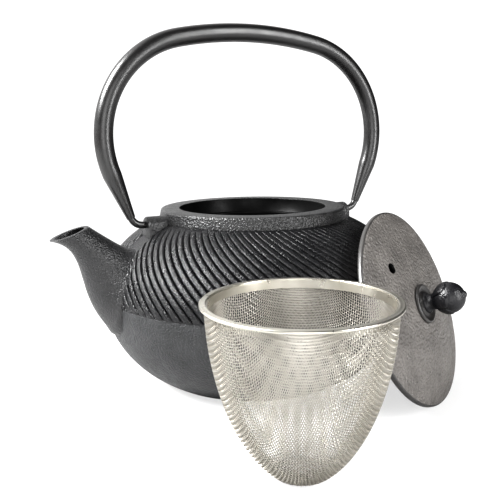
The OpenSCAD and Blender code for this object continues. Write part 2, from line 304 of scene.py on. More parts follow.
looks = {
    "ridged_iron": surface(
        "ridged_iron", (0.004, 0.004, 0.005), (0.009, 0.009, 0.010), (0.24, 0.36),
        bumps=((0.6, 0.4, even),), specular=0.6,
    ),
    "bowl_iron": surface(
        "bowl_iron", (0.026, 0.027, 0.028), (0.042, 0.043, 0.045), (0.40, 0.54),
        bumps=((0.8, 0.3, upright), (0.7, 0.2, even)), cells=(0.8, 0.45), specular=0.6,
    ),
    "spout_iron": surface(
        "spout_iron", (0.010, 0.010, 0.011), (0.022, 0.022, 0.023), (0.32, 0.46),
        bumps=((0.6, 0.2, even),), cells=(0.75, 0.4), wear_and_edge_shade=(0.4, (0.10, 0.10, 0.10)),
        specular=0.8,
    ),
    "collar_iron": surface(
        "collar_iron", (0.009, 0.009, 0.010), (0.020, 0.020, 0.020), (0.30, 0.42),
        bumps=((0.6, 0.25, even),), cells=(0.75, 0.45), wear_and_edge_shade=(0.35, (0.12, 0.12, 0.12)),
        specular=0.8,
    ),
    "black_enamel": surface(
        "black_enamel", (0.002, 0.002, 0.002), (0.004, 0.004, 0.004), (0.30, 0.42),
        bumps=((6, 0.1, even),), specular=0.12,
    ),
    "handle_steel": surface(
        "handle_steel", (0.006, 0.006, 0.006), (0.010, 0.009, 0.009), (0.30, 0.38),
        bumps=((0.7, 0.03, even),), specular=0.9,
    ),
    # The lid's edge tint is dark: painted shade along its raised and rounded edges
    "lid_iron": surface(
        "lid_iron", (0.135, 0.126, 0.119), (0.205, 0.192, 0.181), (0.34, 0.46),
        bumps=((0.8, 0.25, even),), cells=(1.25, 0.75), wear_and_edge_shade=(0.7, (0.04, 0.036, 0.034)),
    ),
    "knob_iron": surface(
        "knob_iron", (0.004, 0.004, 0.006), (0.008, 0.008, 0.010), (0.30, 0.42),
        bumps=((0.7, 0.25, even),), specular=0.7,
    ),
    "seat_iron": surface(
        "seat_iron", (0.040, 0.038, 0.037), (0.065, 0.062, 0.060), (0.30, 0.42),
        bumps=((0.7, 0.10, even),), specular=0.8,
    ),
    "plain_steel": surface(
        "plain_steel", (0.42, 0.41, 0.39), (0.52, 0.51, 0.49), (0.3, 0.42), 1.0,
        bumps=((0.8, 0.05, even),),
    ),
    "polished_steel": surface(
        "polished_steel", (0.58, 0.56, 0.50), (0.70, 0.675, 0.62), (0.26, 0.36), 0.95,
        bumps=((14, 0.1, even),),
    ),
    "woven_steel": surface(
        "woven_steel", (0.43, 0.41, 0.37), (0.54, 0.52, 0.48), (0.34, 0.44), 0.85,
        bumps=((1.2, 0.02, even),),
    ),
}


def finish_piece(piece, body, look, slot, *stands_for):
    """Gives a piece its look and body, and hides the CAD nodes it stands for. The slot argument is
    not used.
    """
    piece.data.materials.clear()
    piece.data.materials.append(looks[look])
    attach(piece, body)
    if stands_for:
        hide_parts(*stands_for)


# ---------- pot ----------

waist_z = 0.522 * mouth_z
collar_base_z = mouth_z - 5.8
collar_r = 0.6115 * pot_r
foot_r = 0.613 * pot_r
foot_ring_w = 6
foot_recess = 1.2
wall = 3.6
bowl_drop = waist_z + 10.1
bowl_power = 2.2
shoulder_rise = 45.4
shoulder_power = 2
ledge_r = mouth_r - 1.65
ledge_t = 2.4


def round_r(a, b, h, power):
    """Radius at height h of a rounded form of radius a and height b; power 2 is an ellipse."""
    return a * (1 - np.clip(np.abs(h) / b, 0, 1) ** power) ** (1 / power)


def skin_r(z, inset=0.0):
    """Radius of the pot's skin at height z."""
    z = np.asarray(z, float)
    below = round_r(pot_r - inset, bowl_drop - inset, waist_z - z, bowl_power)
    above = round_r(pot_r - inset, shoulder_rise - inset, z - waist_z, shoulder_power)
    return np.where(z < waist_z, below, above)


def skin(z0, z1, steps, inset=0.0):
    """Profile points along the pot's skin from height z0 to z1."""
    z = np.linspace(z0, z1, steps + 1)
    return list(zip(skin_r(z, inset), z))


ridges = 100
columns_per_ridge = 13
ridge_high = 0.9
groove_low = -0.5
ridge_power = 5.0
ridge_least = 0.45
lift_out = 0.8
lift_up = 0.6
swirl_at_waist = 0.66
swirl_gain = 0.018
spout_clear_r = 14.8
spout_clear_z = 0.63 * mouth_z
lug_face_x = 0.75 * pot_r
lug_skirt_w = 14
lug_w = 11
lug_top_z = mouth_z - 1.5
lug_skirt_z = 0.72 * mouth_z
lug_clear_z = 0.77 * mouth_z
lug_clear_slope = 0.2


def swirl(z):
    """How far round, in degrees, a ridge has turned at height z, counted from the waist up."""
    up = z - waist_z
    return swirl_at_waist * up + swirl_gain * up * up / 2


def make_ridged_shoulder():
    """The shoulder's ring: ridges outside that fade out at its edges, the spout and the lugs."""
    columns = ridges * columns_per_ridge
    edge = np.array([0.0, 0.25, 0.6, 1.1])
    edge_w = 1.7
    far_off = 9
    z_outer = np.concatenate([
        waist_z + edge,
        np.linspace(waist_z + edge_w, collar_base_z - edge_w, 50),
        collar_base_z - edge[::-1],
    ])
    z_inner = np.linspace(collar_base_z - 2.2, waist_z + 1, 5)
    phase = np.arange(columns) / columns_per_ridge
    across = 2 * (phase % 1) - 1
    bump = 1 - np.abs(across) ** ridge_power
    angle = phase[None, :] * TAU / ridges - np.radians(swirl(z_outer))[:, None]
    z = np.repeat(z_outer[:, None], columns, 1)
    base_r = skin_r(z)
    x = base_r * np.cos(angle)
    y = base_r * np.sin(angle)

    # How much of the ridge there is: none at the edges, under the spout and under the lugs
    rise = smooth_step(0, 0.8, z - waist_z) * smooth_step(0, 1.2, collar_base_z - z)
    spout_gap = np.hypot(y, z - spout_clear_z) - spout_clear_r
    rise *= np.where(x < 0, smooth_step(0, 1.4, spout_gap), 1)
    lug_half = lug_skirt_w / 2 - lug_clear_slope * (z - lug_clear_z)
    beside = np.abs(y) - lug_half
    below = lug_clear_z - z
    lug_gap = np.maximum(beside, below)
    rise *= smooth_step(0, 1.0, np.where(np.abs(x) > collar_r * 0.8, lug_gap, far_off))

    # Ridges are lower near the collar, where they crowd together
    slim = base_r / pot_r
    height = ridge_least + (1 - ridge_least) * slim
    lift = groove_low + (ridge_high - groove_low) * bump[None, :] * height
    lift = lift * rise
    level = smooth_step(0, 6, collar_base_z - z) * smooth_step(0, 6, z - waist_z)
    outer_r = base_r + lift * lift_out
    outer_z = z + lift * lift_up * level
    outer = np.stack([outer_r * np.cos(angle), outer_r * np.sin(angle), outer_z], -1)
    inner_angle = phase[None, :] * TAU / ridges - np.radians(swirl(z_inner))[:, None]
    inner_r = np.repeat(skin_r(z_inner, wall)[:, None], columns, 1)
    inner_z = np.repeat(z_inner[:, None], columns, 1)
    inner = np.stack([inner_r * np.cos(inner_angle), inner_r * np.sin(inner_angle), inner_z], -1)
    points = np.concatenate([outer, inner]).reshape(-1, 3)
    quads = grid_quads(len(z_outer) + len(z_inner), columns, wrap_rows=True)
    return make_mesh("pot_ridged_shoulder", points, quads, sharp_angle=60)


def make_bowl():
    """The bowl from the foot ring up to the waist, with its inside and its floor."""
    sides = 288
    floor_z = foot_recess + wall
    foot_inner_r = foot_r - foot_ring_w
    foot_edge = 0.3
    profile = (
        [(0, foot_recess), (foot_inner_r, foot_recess), (foot_inner_r, foot_edge)]
        + [(foot_inner_r + foot_edge, 0), (foot_r - foot_edge, 0), (foot_r, foot_edge)]
        + skin(0.8, waist_z - 0.5, 40)
        + [(pot_r, waist_z - 0.15), (pot_r - 0.15, waist_z + 0.05), (pot_r - wall, waist_z + 0.6)]
        + skin(waist_z - 2, floor_z + 1, 24, wall)
        + [(skin_r(floor_z, wall) - 2, floor_z), (0, floor_z)]
    )
    return lathe("bowl", profile, sides, sharp_angle=50)


def make_collar():
    """The upright collar round the mouth, flared at its base, and the ledge inside it."""
    sides = 288
    fillet = 1.3
    mouth_edge = 0.5
    ledge_edge = 0.3
    sunk = 0.6
    ledge_z = mouth_z - ledge_depth
    ledge_low_z = ledge_z - ledge_t
    profile = (
        [(skin_r(collar_base_z - 2, wall), collar_base_z - 2.5)]
        + [(skin_r(collar_base_z - sunk) - sunk, collar_base_z - sunk)]
        + [(collar_r + 0.75, collar_base_z - 0.1), (collar_r + 0.8, collar_base_z + 0.4)]
        + [(collar_r + 0.5, collar_base_z + 2.0), (collar_r + 0.15, collar_base_z + 3.4)]
        + arc(collar_r - fillet, mouth_z - fillet, fillet, 0, 90, 6)
        + arc(mouth_r + mouth_edge, mouth_z - mouth_edge, mouth_edge, 90, 180, 4)
        + [(mouth_r, ledge_z + ledge_edge), (mouth_r - ledge_edge, ledge_z)]
        + arc(ledge_r + ledge_edge, ledge_z - ledge_edge, ledge_edge, 90, 180, 3)
        + [(ledge_r, ledge_low_z + ledge_edge), (ledge_r + ledge_edge, ledge_low_z)]
    )
    return lathe("collar", profile, sides, sharp_angle=50)


def bezier(control, t):
    """Points at t on a cubic curve with four control points."""
    a, b, c, d = (np.array(p, float) for p in control)
    t = np.asarray(t, float)[..., None]
    return (1 - t) ** 3 * a + 3 * (1 - t) ** 2 * t * b + 3 * (1 - t) * t * t * c + t ** 3 * d


# The spout's lower and upper outlines, seen from the side: control points as (x, z)
lip_x = pot_low[0]
spout_low = [(0.704 * lip_x, 30), (0.938 * lip_x, 46), (0.802 * lip_x, 72), (lip_x, 76.7)]
spout_high = [(0.469 * lip_x, 58), (0.606 * lip_x, 66), (0.723 * lip_x, 74), (0.831 * lip_x, 82.3)]
spout_root_w = 34
spout_lip_w = 14
spout_narrowing = 1.3
spout_wall = 1.9
lip_starts = 0.985
channel_stops = 0.25
lip_bulge = 0.004
root_fillet_h = 2.6
root_fillet_w = 3.2
root_fillet_inside = 9


def spout_ring(t, inset, sides):
    """An ellipse across the spout at t, 0 at the root and 1 at the lip."""
    low = bezier(spout_low, t)
    high = bezier(spout_high, t)
    middle = (low + high) / 2
    half = (high - low) / 2
    half_len = np.linalg.norm(half)
    along = half / half_len
    side = spout_lip_w / 2 + (spout_root_w - spout_lip_w) / 2 * max(1 - t, 0) ** spout_narrowing
    angle = np.arange(sides) * TAU / sides
    ring = middle + np.outer(np.cos(angle) * (half_len - inset), along)
    return np.stack([ring[:, 0], (side - inset) * np.sin(angle), ring[:, 1]], -1)


def make_spout():
    """The spout's shell: outside, rounded lip and channel, filleted where it meets the pot."""
    sides = 96
    outer = [spout_ring(t, 0, sides) for t in np.linspace(0, lip_starts, 60)]
    lip = [spout_ring(1 + lip_bulge * math.sin(a), spout_wall / 2 * (1 - math.cos(a)), sides)
           for a in np.radians(np.linspace(20, 160, 6))]
    inner = [spout_ring(t, spout_wall, sides) for t in np.linspace(lip_starts, channel_stops, 24)]
    points = np.concatenate([outer, lip, inner])
    count = len(outer)
    shell = points[:count]
    radius = np.hypot(shell[..., 0], shell[..., 1])
    gap = radius - skin_r(np.clip(shell[..., 2], 1, mouth_z - 1))
    flare = root_fillet_h * np.exp(-np.clip(gap, 0, None) / root_fillet_w)
    flare = flare * smooth_step(-root_fillet_inside, 0, gap)
    middle = shell.mean(1, keepdims=True)
    away = shell - middle
    away /= np.linalg.norm(away, axis=-1, keepdims=True)
    points[:count] = shell + away * flare[..., None]
    rows = len(points)
    flat = points.reshape(-1, 3)
    first_cap = list(range(sides))
    last_cap = list(range((rows - 1) * sides, rows * sides))[::-1]
    return make_mesh("spout", flat, grid_quads(rows, sides), (first_cap, last_cap), 60)


def lug_outline(inset, steps=14):
    """The lug seen along X: a round top on a skirt that spreads downwards."""
    r = lug_w / 2 - inset
    top_z = lug_top_z - lug_w / 2
    flare_power = 1.8
    angles = np.radians(np.linspace(0, 180, steps + 1))
    top = [(r * math.cos(a), top_z + r * math.sin(a)) for a in angles]
    drop = np.linspace(0.15, 1, 8)
    flare = (lug_skirt_w - lug_w) / 2 * drop ** flare_power
    left = [(-r - f, top_z + (lug_skirt_z - top_z) * d) for f, d in zip(flare, drop)]
    right = [(-y, z) for y, z in reversed(left)]
    return np.array(top + left + right)


def make_lug(side):
    """A lug from inside the collar out to its face, with rounded edges. It has no bore: the
    hook's pin runs straight into it."""
    buried = 4
    edge = 0.9
    start_x = collar_r - buried
    rows = [(start_x, 0)]
    rows += [(lug_face_x - edge + edge * math.sin(a), edge * (1 - math.cos(a)))
             for a in np.radians(np.linspace(0, 80, 6))]
    points = []
    for x, inset in rows:
        ring = lug_outline(inset)
        points.append(np.stack([np.full(len(ring), side * x), ring[:, 0], ring[:, 1]], -1))
    count = len(points[0])
    flat = np.concatenate(points)
    first_cap = list(range(count))
    last_cap = list(range((len(rows) - 1) * count, len(rows) * count))[::-1]
    return make_mesh("lug", flat, grid_quads(len(rows), count), (first_cap, last_cap), 50)


inside_margin = 0.2

shoulder = make_ridged_shoulder()
finish_piece(shoulder, "pot", "ridged_iron", "pot_iron", "pot_body")
bowl = make_bowl()
finish_piece(bowl, "pot", "bowl_iron", "pot_iron", "pot_body")
bowl.name = "pot_bowl"
collar = make_collar()
finish_piece(collar, "pot", "collar_iron", "pot_iron", "pot_body")
collar.data.materials.append(looks["black_enamel"])
for face in collar.data.polygons:
    inside = math.hypot(face.center.x, face.center.y) < (mouth_r + inside_margin) * MM
    face.material_index = 1 if inside else 0
collar.name = "pot_collar"
spout = join_pieces("pot_spout_and_lugs", [make_spout(), make_lug(1), make_lug(-1)])
finish_piece(spout, "pot", "spout_iron", "pot_iron", "pot_body")


# ---------- handle ----------

# The bow's centre line: a wide arc over the top, a tighter corner, then a straight leg
top_arc_r = 193
top_arc_a = 11.4
corner_r = 46.6
corner_a = 111.3
hook_bend_r = 5.9
hook_r = (hook_high[1] - hook_low[1]) / 2
tube_end_wall = 0.35


def bow_path():
    """Centre-line points of the bow's +X half from the top to the leg's end, with radii."""
    top_centre = np.array([0, bow_top_z - top_arc_r])
    a = math.radians(top_arc_a)
    corner_centre = top_centre + (top_arc_r - corner_r) * np.array([math.sin(a), math.cos(a)])
    path = [top_centre + top_arc_r * np.array([math.sin(b), math.cos(b)])
            for b in np.radians(np.linspace(0, top_arc_a, 16, endpoint=False))]
    path += [corner_centre + corner_r * np.array([math.sin(b), math.cos(b)])
             for b in np.radians(np.linspace(top_arc_a, corner_a, 48))]
    radii = [tube_r] * len(path)
    c = math.radians(corner_a)
    end_z = pivot_z + hook_bend_r * (1 + math.cos(c))
    leg_len = (path[-1][1] - end_z) / math.sin(c)
    leg_start = path[-1]
    end_r = hook_r + tube_end_wall
    for share in np.linspace(0, 1, 17)[1:]:
        path.append(leg_start + share * leg_len * np.array([math.cos(c), -math.sin(c)]))
        radii.append(tube_r + (end_r - tube_r) * share)
    return np.array(path), np.array(radii)


def make_bow():
    """The handle's tube, swept along the bow from one leg's end to the other's."""
    sides = 40
    half, radii = bow_path()
    mirrored = half[:0:-1] * [-1, 1]
    path = np.concatenate([mirrored, half])
    radii = np.concatenate([radii[:0:-1], radii])
    tangent = np.gradient(path, axis=0)
    tangent /= np.linalg.norm(tangent, axis=1, keepdims=True)
    across = np.stack([-tangent[:, 1], tangent[:, 0]], -1)
    angle = np.arange(sides) * TAU / sides
    reach = radii[:, None, None] * np.cos(angle)[None, :, None]
    ring = path[:, None, :] + reach * across[:, None, :]
    depth = radii[:, None] * np.sin(angle)[None, :]
    points = np.stack([ring[..., 0], depth, ring[..., 1]], -1).reshape(-1, 3)
    rows = len(path)
    caps = (list(range(sides)), list(range((rows - 1) * sides, rows * sides))[::-1])
    return make_mesh("bail_handle_tube", points, grid_quads(rows, sides), caps, 50)


bow = make_bow()
finish_piece(bow, "handle", "handle_steel", "handle_steel", "handle_bow")


# ---------- lid ----------

lid_r = 0.5958 * pot_r
lid_edge_t = 2.6
dome_rise = 5.5
lid_edge_round = 0.9
spigot_r = mouth_r - 0.4
spigot_t = 2.6
spigot_depth = 4.8
lid_plate_t = 3
pad_r = 9.5
seat_r = 9.1
seat_t = 1.6
vent_r = 2.4
vent_place = (-17.3, 20.8)
knob_r = 7
knob_centre_z = lid_edge_t + 17.7
neck_r = 3.7

# Dents in the lid's face as (width, height)
dents = ((2.0, 0.16), (1.1, 0.09), (9.0, 0.10))

# The lid's own axes: w along its axis towards the knob, u level, v up its face
lid_w = Vector(lid_axis)
lid_u = Vector((0, 0, 1)).cross(lid_w).normalized()
lid_v = lid_w.cross(lid_u)
seat_base_z = lid_edge_t + dome_rise * (1 - (pad_r / lid_r) ** 2)
lid_origin = seat_centre - lid_axis * (seat_base_z + seat_t / 2)


def on_lid(points):
    """Points drawn with the lid flat, its seating face at z = 0, moved to where it leans."""
    points = np.asarray(points)
    return (lid_origin + points[:, :1] * np.array(lid_u)
            + points[:, 1:2] * np.array(lid_v) + points[:, 2:] * np.array(lid_w))


def dome_z(r):
    """Height of the lid's domed top at radius r."""
    return lid_edge_t + dome_rise * (1 - (r / lid_r) ** 2)


def make_lid():
    """The lid's casting, with a hammered, leathery top and a drilled vent."""
    sides = 420
    flat_r = lid_r - lid_edge_round
    underside_r = spigot_r - spigot_t
    corner = 0.6
    pad_z = dome_z(pad_r)
    edge = (
        arc(flat_r, lid_edge_round, lid_edge_round, -90, 0, 4)
        + arc(flat_r, lid_edge_t - lid_edge_round, lid_edge_round, 0, 80, 4)
    )
    top = [(r, dome_z(r)) for r in np.linspace(pad_r, flat_r, 64)[::-1]][1:]
    profile = (
        edge
        + top
        + [(pad_r - 1.5, pad_z), (0, pad_z)]
        + [(0, pad_z - lid_plate_t), (pad_r, pad_z - lid_plate_t)]
        + [(r, dome_z(r) - lid_plate_t) for r in np.linspace(pad_r + 3, underside_r - 2, 8)]
        + [(underside_r, dome_z(underside_r) - lid_plate_t - 2)]
        + [(underside_r, corner - spigot_depth), (underside_r + corner, -spigot_depth)]
        + [(spigot_r - corner, -spigot_depth), (spigot_r, corner - spigot_depth), (spigot_r, 0)]
    )
    points = lathe_points(profile, sides)
    first_top = len(edge)
    last_top = first_top + len(top) - 1
    face = points[first_top:last_top]
    flat = face.reshape(-1, 3)
    r = np.hypot(flat[:, 0], flat[:, 1])
    fade = smooth_step(0, 1.5, flat_r - r) * smooth_step(0, 1.0, r - pad_r)
    lift = sum(high * noise_at(flat, wide, seed) for seed, (wide, high) in enumerate(dents, 1))
    flat[:, 2] += lift * fade
    points[first_top:last_top] = flat.reshape(face.shape)
    quads = grid_quads(len(profile), sides, wrap_rows=True)
    lid = make_mesh("lid_casting", on_lid(points.reshape(-1, 3)), quads, sharp_angle=50, weld=True)
    drill_low, drill_high = -10, 20
    drill_profile = [(0, drill_low), (vent_r, drill_low), (vent_r, drill_high), (0, drill_high)]

    def at_vent(p):
        return on_lid(p + np.array([vent_place[0], vent_place[1], 0]))

    drill = lathe("vent_drill", drill_profile, 32, at_vent)
    cut = lid.modifiers.new("vent", "BOOLEAN")
    cut.object = drill
    cut.solver = "EXACT"
    bpy.context.view_layer.update()
    drilled = lid.evaluated_get(bpy.context.evaluated_depsgraph_get())
    made = bpy.data.meshes.new_from_object(drilled)
    lid.modifiers.clear()
    lid.data = made
    lid.data.name = lid.name
    bpy.data.objects.remove(drill)
    return lid


def make_seat():
    """The dished washer under the knob: a raised outer ring, a hollow and a hub."""
    gap = 0.02
    low_round = 0.5
    ring_round = 0.8
    hollow = 0.75
    z = seat_base_z + gap
    profile = (
        [(0, z), (seat_r - low_round, z)]
        + arc(seat_r - low_round, z + low_round, low_round, -90, 0, 3)
        + arc(seat_r - ring_round, seat_t + z - ring_round, ring_round, 0, 150, 8)
        + [(seat_r - 2.6, z + hollow), (seat_r - 3.4, z + hollow)]
        + [(seat_r - 4.3, seat_t + z), (0, seat_t + z)]
    )
    return lathe("knob_seat_washer", profile, 128, on_lid)


def make_knob():
    """A bud: a waisted neck, petals closing over its lower half and a nub at the tip."""
    sides = 192
    gap = 0.04
    nub_h = 0.9
    ball_stop = 163
    petals = 6
    petal_end_low = math.radians(72)
    petal_end_rise = math.radians(26)
    petal_edge = 0.06
    petal_swell = 0.07
    groove_depth = 0.13
    groove_w = 0.35
    base_z = seat_base_z + seat_t + gap
    tip_z = knob_centre_z + knob_r + nub_h
    foot = [(0, base_z), (neck_r + 1.1, base_z), (neck_r + 1.2, base_z + 0.5),
            (neck_r + 0.5, base_z + 1.3), (neck_r - 0.1, base_z + 2.4), (neck_r, base_z + 3.6)]
    ball_start = math.degrees(math.asin((neck_r + 0.2) / knob_r))
    polar = np.radians(np.linspace(ball_start, ball_stop, 60))
    ball = [(knob_r * math.sin(a), knob_centre_z - knob_r * math.cos(a)) for a in polar]
    nub = [(1.7, tip_z - 0.95), (1.3, tip_z - 0.4), (0.7, tip_z - 0.05), (0, tip_z)]
    profile = foot + ball + nub
    points = lathe_points(profile, sides)
    ball_rows = slice(len(foot), len(foot) + len(ball))
    angle = np.arange(sides) * TAU / sides
    lobe = np.abs(np.cos(petals * angle / 2))[None, :]
    petal_end = petal_end_low + petal_end_rise * lobe ** 0.6
    petal = 1 - smooth_step(-petal_edge, petal_edge, polar[:, None] - petal_end)
    groove = np.clip(1 - lobe / groove_w, 0, 1) ** 1.5
    scale = 1 + petal_swell * petal - groove_depth * groove * petal
    middle = np.array([0, 0, knob_centre_z])
    points[ball_rows] = middle + (points[ball_rows] - middle) * scale[..., None]
    quads = grid_quads(len(profile), sides, wrap_rows=True)
    return make_mesh("lid_bud_knob", on_lid(points.reshape(-1, 3)), quads, sharp_angle=70, weld=True)


lid = make_lid()
finish_piece(lid, "lid", "lid_iron", "lid_iron", "lid_plate")
# The lid's second look, seat_iron, is painted shade on its rounded edge; the third darkens the
# vent's bore
lid.data.materials.append(looks["seat_iron"])
lid.data.materials.append(looks["black_enamel"])
lid_face_index, lid_edge_shade_index, lid_vent_index = 0, 1, 2
for face in lid.data.polygons:
    from_middle = Vector(face.center) / MM - Vector(lid_origin)
    u = from_middle.dot(lid_u)
    v = from_middle.dot(lid_v)
    face.material_index = lid_face_index
    # The rounded outer edge takes the darker seat_iron: painted shade along the lid's edge
    if math.hypot(u, v) > lid_r - lid_edge_round:
        face.material_index = lid_edge_shade_index
    # The vent's bore walls take the near-black black_enamel look, darker than the lid's face
    if math.hypot(u - vent_place[0], v - vent_place[1]) < vent_r:
        face.material_index = lid_vent_index
seat = make_seat()
finish_piece(seat, "lid", "seat_iron", "lid_iron", "knob_washer")
knob = make_knob()
finish_piece(knob, "lid", "knob_iron", "knob_iron", "lid_knob")


# ---------- infuser basket ----------

wire_pitch = 1.07
wire_r = 0.16
wire_sides = 4
rim_roof_t = 0.6
rim_overhang = 1.7
cup_top_z = rim_top_z - 0.62
cup_drop = cup_top_z + 4
mesh_top_r = rim_r - rim_overhang
cup_r = mesh_top_r - 2 * wire_r
cup_power = 1.9
base_steps = 40
wall_steps = 400

# Crossings whose two neighbours come closer than this share of the pitch stay side by side
lock_share = 0.42

# The cloth's diagonals, where it closes into narrow diamonds, face the front of the basket
front_bearing = -122
net_bearing = math.radians(front_bearing - 45)


def in_basket(points):
    return np.asarray(points) + np.array([basket_x, basket_y, 0])


def cup_meridian():
    """Arc length, radius and height from the middle of the cup's base up to its top."""
    z = cup_top_z * np.linspace(0, 1, wall_steps) ** 1.5
    r = round_r(cup_r, cup_drop, cup_top_z - z, cup_power)
    r = np.concatenate([np.linspace(0, r[0], base_steps, endpoint=False), r])
    z = np.concatenate([np.zeros(base_steps), z]) + wire_r * 2
    s = np.concatenate([[0], np.cumsum(np.hypot(np.diff(r), np.diff(z)))])
    return s, r, z


merid_s, merid_r, merid_z = cup_meridian()


def on_cup(flat):
    """Points of the cup for flat cloth points given as (x, y): how far out is how far up."""
    s = np.hypot(flat[..., 0], flat[..., 1])
    beyond = np.clip(s - merid_s[-1], 0, None)
    r = np.interp(s, merid_s, merid_r)
    z = np.interp(s, merid_s, merid_z) + beyond
    safe = np.maximum(s, 1e-9)
    return np.stack([r * flat[..., 0] / safe, r * flat[..., 1] / safe, z], -1), s, r


def press_cloth(reach):
    """Where the crossings of a square cloth come to lie when it is pressed into the cup.

    Each crossing keeps one wire pitch from its two neighbours nearer the middle, so the net
    stays square along four lines up the cup and closes into narrow diamonds between them.
    Points are flat, with their distance from the middle telling how far up the cup they are."""
    flat = np.zeros((reach + 1, reach + 1, 2))
    place = np.zeros((reach + 1, reach + 1, 3))
    along = np.arange(reach + 1) * wire_pitch
    flat[:, 0, 0] = along
    flat[0, :, 1] = along
    place[:, 0] = on_cup(flat[:, 0])[0]
    place[0, :] = on_cup(flat[0, :])[0]
    for diagonal in range(2, 2 * reach + 1):
        i = np.arange(max(1, diagonal - reach), min(reach, diagonal - 1) + 1)
        j = diagonal - i
        near_a = place[i - 1, j]
        near_b = place[i, j - 1]
        side_by_side = flat[i - 1, j] + flat[i, j - 1] - flat[i - 1, j - 1]
        locked = np.linalg.norm(near_a - near_b, axis=1) < lock_share * wire_pitch
        found = solve_crossings(side_by_side, near_a, near_b)
        flat[i, j] = np.where(locked[:, None], side_by_side, found)
        place[i, j] = on_cup(flat[i, j])[0]
    return flat


def solve_crossings(guess, near_a, near_b):
    """Newton's method for the points of the cup one wire pitch from both near_a and near_b."""
    step = 0.001
    longest = 0.4
    tries = 12
    least_area = 1e-4
    for _ in range(tries):
        here = on_cup(guess)[0]
        slope_x = (on_cup(guess + [step, 0])[0] - here) / step
        slope_y = (on_cup(guess + [0, step])[0] - here) / step
        miss_a = ((here - near_a) ** 2).sum(1) - wire_pitch ** 2
        miss_b = ((here - near_b) ** 2).sum(1) - wire_pitch ** 2
        ax = 2 * ((here - near_a) * slope_x).sum(1)
        ay = 2 * ((here - near_a) * slope_y).sum(1)
        bx = 2 * ((here - near_b) * slope_x).sum(1)
        by = 2 * ((here - near_b) * slope_y).sum(1)
        area = ax * by - ay * bx
        area = np.where(np.abs(area) < least_area, least_area * np.sign(area + 1e-12), area)
        move_x = (ay * miss_b - by * miss_a) / area
        move_y = (bx * miss_a - ax * miss_b) / area
        move = np.stack([move_x, move_y], -1)
        length = np.linalg.norm(move, axis=1, keepdims=True)
        guess = guess + move * np.minimum(1, longest / np.maximum(length, 1e-9))
    return guess


def whole_cloth(quarter):
    """The cloth on all four sides of its middle from one quarter of it."""
    right = np.concatenate([quarter[:0:-1] * [-1, 1], quarter])
    return np.concatenate([right[:, :0:-1] * [1, -1], right], 1)


def halve(values, axis):
    """Puts a midpoint between neighbours along an axis."""
    values = np.moveaxis(values, axis, 0)
    out = np.empty((2 * len(values) - 1,) + values.shape[1:])
    out[::2] = values
    out[1::2] = (values[1:] + values[:-1]) / 2
    return np.moveaxis(out, 0, axis)


def make_wires(name, lines, over):
    """Tubes along cloth lines, each an array of flat cloth points two to every crossing. A wire
    goes over and under in turn; over is 1 for the warp and -1 for the weft."""
    short_of_rim = 0.6
    fewest = 4
    all_points = []
    all_quads = []
    caps = []
    first = 0
    corner = np.arange(wire_sides) * TAU / wire_sides + TAU / wire_sides / 2
    centre = np.array([0, 0, cup_top_z])
    for index, flat in lines:
        place, s, _ = on_cup(flat)
        steps = np.flatnonzero(s < merid_s[-1] - short_of_rim)
        runs = np.split(steps, np.flatnonzero(np.diff(steps) > 1) + 1)
        for run in runs:
            if len(run) < fewest:
                continue
            p = place[run]
            tangent = np.gradient(p, axis=0)
            tangent /= np.linalg.norm(tangent, axis=1, keepdims=True)
            outward = p - centre
            outward[:, 2] *= (cup_r / cup_drop) ** 2
            outward /= np.linalg.norm(outward, axis=1, keepdims=True)
            side = np.cross(tangent, outward)
            side /= np.linalg.norm(side, axis=1, keepdims=True)
            outward = np.cross(side, tangent)
            side_of_cloth = np.where((run // 2 + index) % 2 == 0, 1.0, -1.0)
            wave = np.where(run % 2 == 0, side_of_cloth, 0.0)
            p = p + outward * (wave * over * wire_r)[:, None]
            ring = (p[:, None]
                    + wire_r * np.cos(corner)[None, :, None] * outward[:, None]
                    + wire_r * np.sin(corner)[None, :, None] * side[:, None])
            all_points.append(ring.reshape(-1, 3))
            all_quads.append(grid_quads(len(p), wire_sides, first=first))
            last = first + (len(p) - 1) * wire_sides
            caps.append(list(range(first, first + wire_sides)))
            caps.append(list(range(last, last + wire_sides))[::-1])
            first += len(p) * wire_sides
    x, y, z = np.concatenate(all_points).T
    turn_x = math.cos(net_bearing)
    turn_y = math.sin(net_bearing)
    turned = np.stack([x * turn_x - y * turn_y, x * turn_y + y * turn_x, z], -1)
    return make_mesh(name, in_basket(turned), np.concatenate(all_quads), caps, 60)


def make_mesh_cup():
    """The woven cup as four pieces, half the warp and half the weft in each pair."""
    spare = 1.03
    cloth = whole_cloth(press_cloth(int(merid_s[-1] * spare / wire_pitch)))
    count = len(cloth)
    warp = [(k, halve(cloth[k], 0)) for k in range(count)]
    weft = [(k, halve(cloth[:, k], 0)) for k in range(count)]
    half = len(warp) // 2
    return [
        make_wires("mesh_warp_left", warp[:half], 1.0),
        make_wires("mesh_warp_right", warp[half:], 1.0),
        make_wires("mesh_weft_left", weft[:half], -1.0),
        make_wires("mesh_weft_right", weft[half:], -1.0),
    ]


def make_rim():
    """The rolled rim: a rounded bead outside the mesh with a turned-in edge over its top."""
    bead_r = 0.65
    bead_inner_r = rim_r - 2 * bead_r
    low = rim_top_z - 1.3
    gap = 0.02
    inner_r = mesh_top_r - 0.8
    inner_round = 0.25
    profile = (
        [(mesh_top_r + gap, low)]
        + arc(rim_r - bead_r, rim_top_z - bead_r, bead_r, -90, 90, 14)
        + [(bead_inner_r - 0.15, rim_top_z - 0.12), (bead_inner_r - 0.35, rim_top_z - 0.05)]
        + arc(inner_r + inner_round, rim_top_z - inner_round, inner_round, 90, 180, 4)
        + [(inner_r, rim_top_z - rim_roof_t), (mesh_top_r + gap, rim_top_z - rim_roof_t)]
    )
    return lathe("infuser_rolled_rim", profile, 256, in_basket, 45)


for piece in make_mesh_cup():
    finish_piece(piece, "basket", "woven_steel", "woven_steel", "mesh_basket")
finish_piece(make_rim(), "basket", "polished_steel", "polished_steel", "basket_rim")


# ---------- CAD pieces shown as they are ----------

